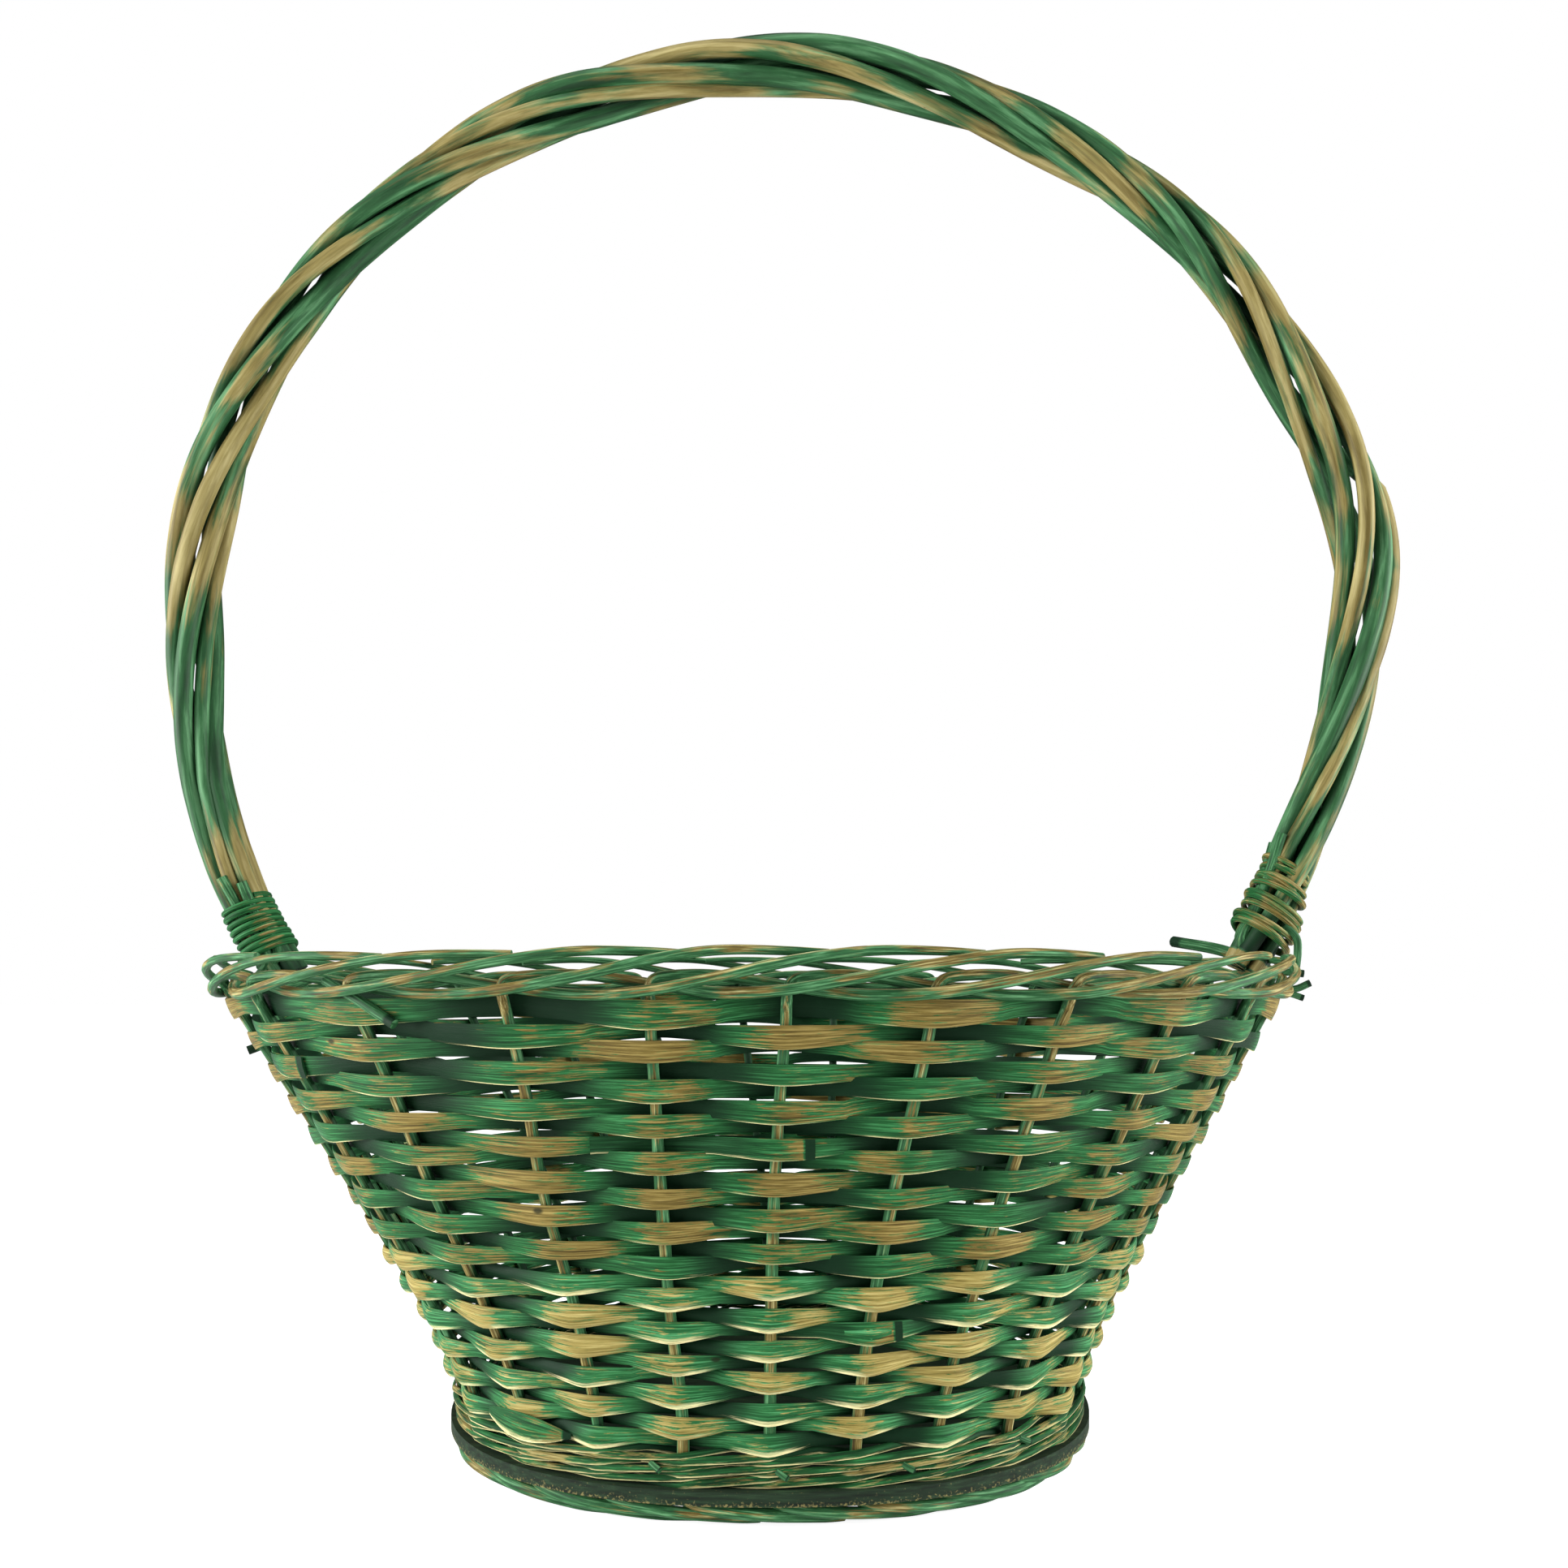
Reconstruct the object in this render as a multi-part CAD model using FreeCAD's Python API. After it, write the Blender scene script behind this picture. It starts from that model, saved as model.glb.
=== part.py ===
import FreeCAD, Part
import math
import os

# Woven oval basket with a twisted hoop handle. All sizes in millimetres, +Z up,
# the long side along X, the origin on the floor under the middle of the basket.

# wall plan and slope, measured on the line through the middle of the stakes
stake_count = 24
stake_line_half_x = 99.5
stake_line_half_y = 87.0
plan_power = 2.3
end_slope = 0.60
side_slope = 0.17
slope_ease = 18.0
even_rise = 45.0
plan_steps = 240

# rods and strips
stake_radius = 1.5
wale_radius = 1.65
strip_thickness = 1.2
rod_sides = 6
clearance = 0.3

# foot border and base board
foot_height = 7.0
foot_swing = 2.6
foot_stations = 2.0
board_thickness = 4.0
board_margin = 5.0
hole_clearance = 0.15

# wale and weave
wale_rods = 3
row_count = 26
row_pitch_low = 4.3
row_pitch_high = 5.07
row_gap = 0.3
wale_gap = 1.1
bend_rows = (3, 7)

# rim border: its heights above the weave, and its spans in stations from stake to stake
border_bend = 4.9
border_climb = 11.3
border_climb_stations = 2.2
border_stations = 4.0
border_bulge = 0.9

# handle, its two liner sticks at each end and the bindings over them
liner_radius = 1.5
liner_stub = 4.5
handle_rod_radius = 2.7
handle_ring_radius = 6.0
handle_pairs = 3
handle_pair_angle = 28.0
handle_twist_length = 265.0
handle_top = 467.0
handle_segments = 28
binding_width = 2.3
binding_thickness = 0.9
binding_sides = 8
binding_turns_left = 7.5
binding_turns_right = 9.5
binding_turn_pitch = 2.75
binding_clearance = 0.6

# sizes that follow from the ones above
flat_of_rod = math.cos(math.pi / rod_sides)
rod_spacing = 2 * stake_radius + clearance
board_bottom = foot_height
board_top = board_bottom + board_thickness
wale_pitch = 2 * wale_radius * flat_of_rod + row_gap
weave_start = board_top + wale_gap + wale_rods * wale_pitch
row_growth = (row_pitch_high - row_pitch_low) / (row_count - 1)
end_stakes = (stake_count // 4, 3 * stake_count // 4)
strip_reach = stake_radius + clearance + strip_thickness / 2
lane_shift = (stake_radius + liner_radius + clearance) / 2
liner_side = liner_radius + clearance / 2
bundle_radius = handle_ring_radius + handle_rod_radius
liner_stand = bundle_radius + clearance + liner_radius
liner_far = liner_stand + liner_radius

up_axis = FreeCAD.Vector(0, 0, 1)
y_axis = FreeCAD.Vector(0, 1, 0)


# height of the lower edge of a weft row, counted from 0
def row_edge(row):
    return weave_start + row * row_pitch_low + row_growth * row * (row - 1) / 2


weave_top = row_edge(row_count)
wall_bends = [board_top, weave_start]
wall_bends += [row_edge(row) for row in bend_rows]
wall_bends += [weave_top]


# how far the wall has flared at a height, smoothly eased from upright
def eased_rise(level):
    height = level - board_top
    return height - slope_ease * (1 - math.exp(-height / slope_ease))


# the same flare in straight runs between the bends, with its gradient
def wall_rise(level):
    if level <= board_top:
        return 0.0, 0.0
    low = wall_bends[-2]
    high = wall_bends[-1]
    for start, end in zip(wall_bends[:-1], wall_bends[1:]):
        if start <= level < end:
            low = start
            high = end
    gradient = (eased_rise(high) - eased_rise(low)) / (high - low)
    return eased_rise(low) + gradient * (level - low), gradient


# a point of the unit plan curve, from the middle of the front towards +X
def plan_point(angle):
    across = math.sin(angle)
    deep = math.cos(angle)
    power = 2 / plan_power
    x = math.copysign(abs(across) ** power, across)
    y = -math.copysign(abs(deep) ** power, deep)
    return x, y


# the angles that set the stakes at equal distances round the plan of the flared wall
def stake_angles():
    half_x = stake_line_half_x + even_rise * end_slope
    half_y = stake_line_half_y + even_rise * side_slope
    steps = plan_steps * stake_count
    lengths = [0.0]
    previous = plan_point(0)
    for step in range(1, steps + 1):
        current = plan_point(2 * math.pi * step / steps)
        run_x = (current[0] - previous[0]) * half_x
        run_y = (current[1] - previous[1]) * half_y
        lengths.append(lengths[-1] + math.hypot(run_x, run_y))
        previous = current
    angles = []
    step = 0
    for stake in range(stake_count + 1):
        goal = lengths[-1] * stake / stake_count
        while step < steps and lengths[step + 1] < goal:
            step += 1
        part_step = 0.0
        if step < steps:
            part_step = (goal - lengths[step]) / (lengths[step + 1] - lengths[step])
        angles.append(2 * math.pi * (step + part_step) / steps)
    return angles


station_angles = stake_angles()


# the frame of the wall at a station and height: the point on the stake line,
# the way along the wall, the way out of it and the way up it
def wall_frame(station, level):
    turn = math.floor(station / stake_count)
    place = station - turn * stake_count
    index = min(int(place), stake_count - 1)
    span = station_angles[index + 1] - station_angles[index]
    x, y = plan_point(station_angles[index] + span * (place - index))
    rise, gradient = wall_rise(level)
    half_x = stake_line_half_x + end_slope * rise
    half_y = stake_line_half_y + side_slope * rise
    point = FreeCAD.Vector(half_x * x, half_y * y, level)
    normal_x = math.copysign(abs(x) ** (plan_power - 1), x) / half_x
    normal_y = math.copysign(abs(y) ** (plan_power - 1), y) / half_y
    along = FreeCAD.Vector(-normal_y, normal_x, 0).normalize()
    up = FreeCAD.Vector(end_slope * gradient * x, side_slope * gradient * y, 1).normalize()
    outward = along.cross(up).normalize()
    return point, along, outward, up


def placed(frame, sideways, out, high):
    point, along, outward, up = frame
    return point + along * sideways + outward * out + up * high


# one flat face where four corners lie in a plane, otherwise two triangles
def panel(a, b, c, d):
    normal = (b - a).cross(c - a)
    if normal.Length > 1e-9 and abs(normal.normalize().dot(d - a)) < 1e-7:
        return [polygon([a, b, c, d])]
    return [polygon([a, b, c]), polygon([a, c, d])]


def polygon(corners):
    return Part.Face(Part.makePolygon(corners + [corners[0]]))


# a solid through a row of sections with the same number of corners
def solid_through(sections, looped):
    faces = []
    count = len(sections[0])
    spans = len(sections) if looped else len(sections) - 1
    for index in range(spans):
        near = sections[index]
        far = sections[(index + 1) % len(sections)]
        for corner in range(count):
            following = (corner + 1) % count
            faces += panel(near[corner], near[following], far[following], far[corner])
    if not looped:
        faces.append(polygon(sections[0]))
        faces.append(polygon(sections[-1]))
    shell = Part.makeShell(faces)
    shell.sewShape()
    solid = Part.Solid(shell)
    if solid.Volume < 0:
        solid.reverse()
    return solid


# a rod along straight runs, mitred at each bend; the references hold its corners
def rod(points, references, radius, looped=False):
    count = len(points)
    sections = []
    for index in range(count):
        before = points[index] - points[index - 1]
        after = points[(index + 1) % count] - points[index]
        if not looped and index == 0:
            before = after
        if not looped and index == count - 1:
            after = before
        before = FreeCAD.Vector(before).normalize()
        after = FreeCAD.Vector(after).normalize()
        mitre = (before + after).normalize()
        reference = references[index]
        first = (reference - before * reference.dot(before)).normalize()
        second = before.cross(first)
        corners = []
        for side in range(rod_sides):
            angle = 2 * math.pi * side / rod_sides
            arm = first * (radius * math.cos(angle)) + second * (radius * math.sin(angle))
            arm = arm - before * (arm.dot(mitre) / before.dot(mitre))
            corners.append(points[index] + arm)
        sections.append(corners)
    return solid_through(sections, looped)


# how far a stake stands in from its line; only the end stakes make room for liners
def stake_offset(stake, level):
    if stake not in end_stakes or level <= weave_start:
        return 0.0
    full_level = wall_bends[-2]
    return -lane_shift * min(1.0, (level - weave_start) / (full_level - weave_start))


# outward place of a strip that passes a stake on its outer or inner side
def strip_offset(stake, level, outer):
    stand = stake_offset(stake, level)
    if not outer:
        return stand - strip_reach
    if stake in end_stakes and level > wall_bends[-2]:
        return lane_shift + liner_radius + clearance + strip_thickness / 2
    return stand + strip_reach


# a strip runs flat across the liners at the ends and turns on every other stake
def strip_turns(stake):
    if stake in end_stakes:
        half_lane = liner_side + liner_radius + clearance
        return (-half_lane, half_lane)
    return (0.0,)


def weft_row(row):
    level = (row_edge(row) + row_edge(row + 1)) / 2
    half_width = (row_edge(row + 1) - row_edge(row) - row_gap) / 2
    half_thickness = strip_thickness / 2
    sections = []
    for stake in range(stake_count):
        frame = wall_frame(stake, level)
        out = strip_offset(stake, level, (stake + row) % 2 == 0)
        for sideways in strip_turns(stake):
            sections.append([
                placed(frame, sideways, out - half_thickness, -half_width),
                placed(frame, sideways, out + half_thickness, -half_width),
                placed(frame, sideways, out + half_thickness, half_width),
                placed(frame, sideways, out - half_thickness, half_width)])
    return solid_through(sections, True)


# each wale rod passes outside two stakes and inside the third
def wale_rod(index):
    level = board_top + row_gap + (index + 0.5) * wale_pitch
    reach = stake_radius + wale_radius + clearance
    points = []
    references = []
    for stake in range(stake_count):
        point, along, outward, up = wall_frame(stake, level)
        level_outward = along.cross(up_axis)
        out = -reach if (stake + index) % 3 == 0 else reach
        points.append(point + level_outward * out)
        references.append(level_outward)
    return rod(points, references, wale_radius, True)


# foot border: a stake's tail swings out under its neighbour, then in past the next
def foot_points(stake):
    low = stake_radius * flat_of_rod
    high = board_bottom - clearance / 2 - stake_radius * flat_of_rod
    points = []
    steps = int(2 * foot_stations)
    for step in range(steps, -1, -1):
        travel = step / 2
        drop = 1 - travel ** 2 if travel < 1 else 0.0
        frame = wall_frame(stake + travel, low + (high - low) * drop)
        out = foot_swing * math.sin(2 * math.pi * travel / 3)
        points.append((placed(frame, 0, out, 0), frame[2]))
    return points


def upright_points(stake):
    points = []
    for level in wall_bends[:-1]:
        frame = wall_frame(stake, level)
        points.append((placed(frame, 0, stake_offset(stake, level), 0), frame[2]))
    return points


border_low = stake_radius * flat_of_rod + clearance


# height of a border rod above the weave: it sinks behind the first stake, is lowest
# half way to the second, and climbs over the front of the border
def border_high(travel):
    wave = math.pi * (travel - 1.5) / (2 * border_climb_stations)
    return border_low + border_climb * math.sin(wave) ** 2


border_height = border_low + border_climb + stake_radius * flat_of_rod


# outward place of a border rod, in rod spacings: inside the first stake it meets,
# outside the second and third, then over the top of the border to the inside
def border_swing(travel):
    if travel < 1:
        return -math.sin(math.pi * travel / 2)
    if travel < 2:
        return -math.cos(math.pi * (travel - 1))
    return math.cos(math.pi * (travel - 2) / 3)


def border_points(stake):
    points = []
    steps = int(2 * border_stations)
    for step in range(steps + 1):
        travel = step / 2
        frame = wall_frame(stake + travel, weave_top)
        out = border_swing(travel) * rod_spacing
        high = border_high(travel)
        if step == 0:
            high = border_low + border_bend
        if travel <= 1:
            out += stake_offset((stake + travel) % stake_count, weave_top)
        elif travel < border_stations and (stake + travel) % stake_count in end_stakes:
            out = lane_shift + liner_radius + clearance + stake_radius + border_bulge
        points.append((placed(frame, 0, out, high), frame[2]))
    return points


# one willow rod: foot tail, upright through the board and the weave, rim tail
def stake(index):
    path = foot_points(index) + upright_points(index) + border_points(index)
    points = [place for place, reference in path]
    references = [reference for place, reference in path]
    return rod(points, references, stake_radius)


# the sawn edge of the board, one arc from stake to stake
def board_outline():
    arcs = []
    for index in range(stake_count):
        places = [wall_frame(index + part, board_bottom) for part in (0, 0.5, 1)]
        points = [placed(frame, 0, board_margin, 0) for frame in places]
        arcs.append(Part.Arc(*points).toShape())
    return Part.Face(Part.Wire(arcs))


# the hole for one stake, with flats that clear the rod
def stake_hole(index):
    point, along, outward, up = wall_frame(index, board_bottom)
    radius = stake_radius + hole_clearance
    corners = []
    for side in range(rod_sides):
        angle = 2 * math.pi * (side + 0.5) / rod_sides
        corners.append(point + along * (radius * math.cos(angle)) + outward * (radius * math.sin(angle)))
    return polygon(corners).extrude(up_axis * board_thickness)


def board():
    plate = board_outline().extrude(up_axis * board_thickness)
    holes = [stake_hole(index) for index in range(stake_count)]
    return plate.cut(Part.makeCompound(holes))


end_frame = wall_frame(end_stakes[0], weave_top)
handle_seat = border_height + clearance
bundle_stand = lane_shift - liner_stand
handle_foot = placed(end_frame, 0, bundle_stand, handle_seat)
arch_height = handle_top - bundle_radius - handle_foot.z
handle_radius = (handle_foot.x ** 2 + arch_height ** 2) / (2 * arch_height)
handle_centre = handle_top - bundle_radius - handle_radius
handle_half_turn = math.acos((handle_foot.z - handle_centre) / handle_radius)
handle_half_length = handle_radius * handle_half_turn


# the frame of the handle at a distance from its top, positive towards +X
def handle_frame(distance):
    angle = distance / handle_radius
    along = FreeCAD.Vector(math.cos(angle), 0, -math.sin(angle))
    outward = FreeCAD.Vector(math.sin(angle), 0, math.cos(angle))
    return outward * handle_radius + up_axis * handle_centre, along, outward, y_axis


def handle_rod(phase):
    points = []
    references = []
    for index in range(handle_segments + 1):
        distance = handle_half_length * (2 * index / handle_segments - 1)
        frame = handle_frame(distance)
        angle = math.radians(phase) + 2 * math.pi * distance / handle_twist_length
        arm = frame[2] * math.cos(angle) - y_axis * math.sin(angle)
        points.append(frame[0] + arm * handle_ring_radius)
        references.append(arm)
    return rod(points, references, handle_rod_radius)


# the rods lie in pairs, evenly round the handle
def handle_pair(index):
    middle = 360 * index / handle_pairs
    rods = [handle_rod(middle - handle_pair_angle), handle_rod(middle + handle_pair_angle)]
    return Part.makeCompound(rods)


# two sticks that carry one end of the handle: up the end wall, then along its back
def liner_pair(stake, turns, direction):
    length_up = turns * binding_turn_pitch + liner_stub
    wall_end = wall_frame(stake, weave_top)
    depth = (weave_top - wall_bends[-2] - clearance) / wall_end[3].z
    sticks = []
    for side in (-liner_side, liner_side):
        points = [placed(wall_end, side * direction, lane_shift, -depth)]
        references = [wall_end[2]]
        for part in (0, 0.5, 1):
            frame = handle_frame(direction * (handle_half_length - part * length_up))
            points.append(frame[0] + frame[2] * liner_stand + y_axis * side)
            references.append(frame[2])
        sticks.append(rod(points, references, liner_radius))
    return Part.makeCompound(sticks)


# flat split willow wound round the handle's end and the two liners
def binding(turns, direction):
    corner_room = 1 / math.cos(math.pi / binding_sides)
    half_side = (bundle_radius + binding_clearance + binding_thickness / 2) * corner_room
    sections = []
    for step in range(int(turns * binding_sides) + 1):
        wound = (step / binding_sides + 0.5) * binding_turn_pitch
        frame = handle_frame(direction * (handle_half_length - wound))
        half_deep = (bundle_radius + liner_far) / 2 + binding_clearance + binding_thickness / 2
        half_deep *= corner_room
        middle = (liner_far - bundle_radius) / 2
        angle = 2 * math.pi * (step + 0.5) / binding_sides
        radial = frame[2] * math.cos(angle) + y_axis * math.sin(angle)
        centre = frame[0] + frame[2] * (middle + half_deep * math.cos(angle))
        centre = centre + y_axis * (half_side * math.sin(angle))
        wide = frame[1] * (binding_width / 2)
        thick = radial * (binding_thickness / 2)
        sections.append([
            centre - wide - thick,
            centre + wide - thick,
            centre + wide + thick,
            centre - wide + thick])
    return solid_through(sections, False)


def export(name, shape):
    shape.exportStep("parts/" + name + ".step")
    print(name, len(shape.Solids), "solids", round(shape.Volume), "mm3", shape.isValid())


os.makedirs("parts", exist_ok=True)

export("base_board", board())
for index in range(wale_rods):
    export("wale_rod_%d" % (index + 1), wale_rod(index))
for index in range(row_count):
    export("weft_row_%02d" % (index + 1), weft_row(index))
for index in range(stake_count // 2):
    pair = [stake(2 * index), stake(2 * index + 1)]
    export("stakes_%02d" % (index + 1), Part.makeCompound(pair))
for index in range(handle_pairs):
    export("handle_rods_%d" % (index + 1), handle_pair(index))
export("handle_liners_right", liner_pair(end_stakes[0], binding_turns_right, 1))
export("handle_liners_left", liner_pair(end_stakes[1], binding_turns_left, -1))
export("binding_right", binding(binding_turns_right, 1))
export("binding_left", binding(binding_turns_left, -1))
print("handle radius", round(handle_radius, 2), "handle length", round(2 * handle_half_length, 1))
print("weave top", round(weave_top, 2), "border height", round(border_height, 2))
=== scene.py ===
import math

import bpy
import numpy as np
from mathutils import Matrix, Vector


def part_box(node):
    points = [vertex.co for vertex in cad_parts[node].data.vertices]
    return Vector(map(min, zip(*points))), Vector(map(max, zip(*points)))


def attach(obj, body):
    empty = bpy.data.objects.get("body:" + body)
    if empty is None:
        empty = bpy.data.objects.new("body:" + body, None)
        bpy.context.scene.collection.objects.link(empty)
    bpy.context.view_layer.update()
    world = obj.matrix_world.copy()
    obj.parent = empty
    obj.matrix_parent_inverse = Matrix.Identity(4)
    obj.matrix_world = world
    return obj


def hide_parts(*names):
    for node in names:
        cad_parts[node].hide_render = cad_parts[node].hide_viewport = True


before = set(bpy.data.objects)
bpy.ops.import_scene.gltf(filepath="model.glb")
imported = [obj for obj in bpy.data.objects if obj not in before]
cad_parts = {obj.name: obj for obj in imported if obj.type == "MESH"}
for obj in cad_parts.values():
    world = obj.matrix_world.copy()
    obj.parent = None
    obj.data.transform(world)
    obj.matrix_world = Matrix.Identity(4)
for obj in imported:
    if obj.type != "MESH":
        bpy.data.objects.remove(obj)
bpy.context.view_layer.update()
bpy.ops.object.select_all(action="DESELECT")
print("frame loaded")

mm = 0.001
fullTurn = 2 * math.pi

# the basket's wall: one plan curve, flared from the board to the rim, followed by every strand
# a station is the way from one stake to the next, counted from the middle of the front
wall = {
    "stakes": 24,
    "rows": 26,  # rounds of weft
    "planPower": 2.3,  # 2 is an ellipse
    "endSlope": 0.60,
    "sideSlope": 0.17,
    "ease": 18 * mm,  # height over which the flare sets in
    "evenRise": 45 * mm,  # rise of the flare where the stakes stand equally far apart
    "boardMargin": 5 * mm,  # from the stake line to the board's edge
    "twist": 0.24,  # stations that the stakes lean round by the rim, front and back only
    "gather": (0.2, 22.3, 1.2),  # and a further lean: how much, near which station, over what spread
    "lean": -5.5 * mm,  # the hand-made body sits a little to the left at the rim
}

stakeCount = wall["stakes"]
backStation = stakeCount // 2
endStations = (stakeCount // 4, 3 * stakeCount // 4)  # right and left, under the handle's feet
boardLow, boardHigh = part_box("base_board")
boardTop = boardHigh.z
lineX = boardHigh.x - wall["boardMargin"]
lineY = boardHigh.y - wall["boardMargin"]
rowBoxes = [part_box("weft_row_%02d" % (row + 1)) for row in range(wall["rows"])]
rowLevels = np.array([(low.z + high.z) / 2 for low, high in rowBoxes])
rowPitches = np.gradient(rowLevels)
weaveTop = rowLevels[-1] + rowPitches[-1] / 2
rimHeight = weaveTop - boardTop


def planUnit(angle):
    power = 2 / wall["planPower"]
    x = np.sign(np.sin(angle)) * np.abs(np.sin(angle)) ** power
    y = -np.sign(np.cos(angle)) * np.abs(np.cos(angle)) ** power
    return x, y


def flareGradient(level):
    height = np.maximum(level - boardTop, 0)
    return 1 - np.exp(-height / wall["ease"])


def flareRise(level):
    height = np.maximum(level - boardTop, 0)
    return height - wall["ease"] * flareGradient(level)


# angles that put the stakes at equal distances, counted from the middle of the front
denseAngles = np.linspace(0, fullTurn, 5761)
denseX, denseY = planUnit(denseAngles)
denseSteps = np.hypot(
    np.diff(denseX) * (lineX + wall["evenRise"] * wall["endSlope"]),
    np.diff(denseY) * (lineY + wall["evenRise"] * wall["sideSlope"]))
denseStations = np.concatenate([[0], np.cumsum(denseSteps)])
denseStations *= stakeCount / denseStations[-1]


def stationAngle(station):
    turns = np.floor(station / stakeCount)
    return np.interp(station - turns * stakeCount, denseStations, denseAngles) + turns * fullTurn


# points on the wall at stations and levels, pushed out along the wall's normal and up along it
def wallPoints(station, level, out, up=0.0):
    station = np.asarray(station, float)
    level = np.asarray(level, float) + np.zeros_like(station)
    plain = stationAngle(station)
    climb = np.clip((level - boardTop) / rimHeight, 0, 1.1)
    much, place, spread = wall["gather"]
    apart = (station - place + backStation) % stakeCount - backStation
    shift = wall["twist"] * np.cos(plain) ** 2 + much * np.exp(-(apart / spread) ** 2)
    angle = stationAngle(station + climb * shift)
    x, y = planUnit(angle)
    halfX = lineX + wall["endSlope"] * flareRise(level)
    halfY = lineY + wall["sideSlope"] * flareRise(level)
    gradient = flareGradient(level)
    normalX = np.sign(x) * np.abs(x) ** (wall["planPower"] - 1) / halfX
    normalY = np.sign(y) * np.abs(y) ** (wall["planPower"] - 1) / halfY
    size = np.hypot(normalX, normalY)
    along = np.stack([-normalY / size, normalX / size, np.zeros_like(size)], 1)
    upward = np.stack([
        wall["endSlope"] * gradient * x,
        wall["sideSlope"] * gradient * y,
        np.ones_like(size)], 1)
    upward /= np.linalg.norm(upward, axis=1)[:, None]
    outward = np.cross(along, upward)
    outward /= np.linalg.norm(outward, axis=1)[:, None]
    points = np.stack([halfX * x + wall["lean"] * climb, halfY * y, level], 1)
    points += outward * np.reshape(out, (-1, 1)) + upward * np.reshape(up, (-1, 1))
    return points, outward


# how far the wall leans out of the vertical, for turning a strip's face onto it
def wallLean(station, level):
    ahead, _ = wallPoints(station, np.asarray(level) + mm, 0.0)
    here, outward = wallPoints(station, level, 0.0)
    flat = outward * [1, 1, 0]
    flat /= np.linalg.norm(flat, axis=1)[:, None]
    return np.arctan2(np.sum((ahead - here) * flat, 1), mm)


# stations from the nearer end of the basket
def nearEnd(station):
    right, left = endStations
    return np.minimum(np.abs(station % stakeCount - right), np.abs(station % stakeCount - left))


# stations of a closed round, which meets itself at the back
def roundStations(samples):
    return backStation + np.arange(stakeCount * samples) / samples


# smooth random wander: how much each way, and the distance from one swing to the next
def wander(seed, places, much, spacing):
    spots = int(np.max(places) / spacing) + 3
    values = np.random.default_rng(seed).uniform(-1, 1, spots)
    at = np.asarray(places) / spacing
    low = np.floor(at).astype(int)
    part = at - low
    part = part * part * (3 - 2 * part)
    return much * (values[low] * (1 - part) + values[low + 1] * part)


# a smooth run of places through a few chosen ones, row by row
def smoothThrough(chosen, steps):
    chosen = np.asarray(chosen, float)
    padded = np.vstack([2 * chosen[0] - chosen[1], chosen, 2 * chosen[-1] - chosen[-2]])
    rows = []
    for index in range(len(chosen) - 1):
        a, b, c, d = padded[index:index + 4]
        part = np.linspace(0, 1, steps, endpoint=False)[:, None]
        bent = 2 * b + (c - a) * part + (2 * a - 5 * b + 4 * c - d) * part ** 2
        rows.append(0.5 * (bent + (3 * b - a - 3 * c + d) * part ** 3))
    return np.vstack(rows + [chosen[-1:]])


# rounds the corners of a path a little, keeping its ends
def smoothPath(points, rounds):
    points = points.copy()
    for _ in range(rounds):
        points[1:-1] = points[1:-1] * 0.5 + (points[:-2] + points[2:]) * 0.25
    return points


# closed outline that a strand is drawn out of: x is its thickness, y its width
def strandSection(name, outline):
    curve = bpy.data.curves.new(name, "CURVE")
    curve.dimensions = "2D"
    spline = curve.splines.new("POLY")
    spline.points.add(len(outline) - 1)
    for point, (thick, wide) in zip(spline.points, outline):
        point.co = (thick, wide, 0, 1)
    spline.use_cyclic_u = True
    section = bpy.data.objects.new(name, curve)
    bpy.context.collection.objects.link(section)
    return section


def roundSection(sides):
    return [(math.cos(fullTurn * i / sides), -math.sin(fullTurn * i / sides)) for i in range(sides)]


# a split's outline: flat inner face, then the crowned outer face down to its lower edge
def splitSection(crown, edge, back):
    outer = [(edge + crown * (1 - w ** 2), w) for w in (-1, -0.88, -0.6, -0.2, 0.2, 0.6, 0.88, 1)]
    inner = [(-back, w) for w in (0.97, 0.35, -0.35, -0.97)]
    return (outer + inner)[::-1]


rodRound = strandSection("rodSection", roundSection(10))
stoutRound = strandSection("stoutRodSection", roundSection(14))
flatSplit = strandSection("flatSplitSection", splitSection(0.09, 0.03, 0.09))
halfRoundSplit = strandSection("halfRoundSplitSection", splitSection(0.34, 0.04, 0.14))
slimSplit = strandSection("slimSplitSection", splitSection(0.5, 0.06, 0.3))
sections = (rodRound, stoutRound, flatSplit, halfRoundSplit, slimSplit)


def outlineOf(section):
    return [point.co for point in section.data.splines[0].points]


# selects these objects and nothing else, the first one active
def selectOnly(objects):
    bpy.ops.object.select_all(action="DESELECT")
    for item in objects:
        item.select_set(True)
    bpy.context.view_layer.objects.active = objects[0]


# the UV map in metres along and round the strand; each name takes its own stretch of the patterns
def layPatternMap(strand, name, length, girth):
    layer = strand.data.uv_layers[0]
    layer.name = "alongStrand"
    flat = np.zeros(len(layer.data) * 2)
    layer.data.foreach_get("uv", flat)
    shift = (sum(ord(letter) for letter in name) * 37 % 101) / 10
    flat[0::2] = flat[0::2] * length + shift
    flat[1::2] = flat[1::2] * girth + shift / 7
    layer.data.foreach_set("uv", flat)


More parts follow.
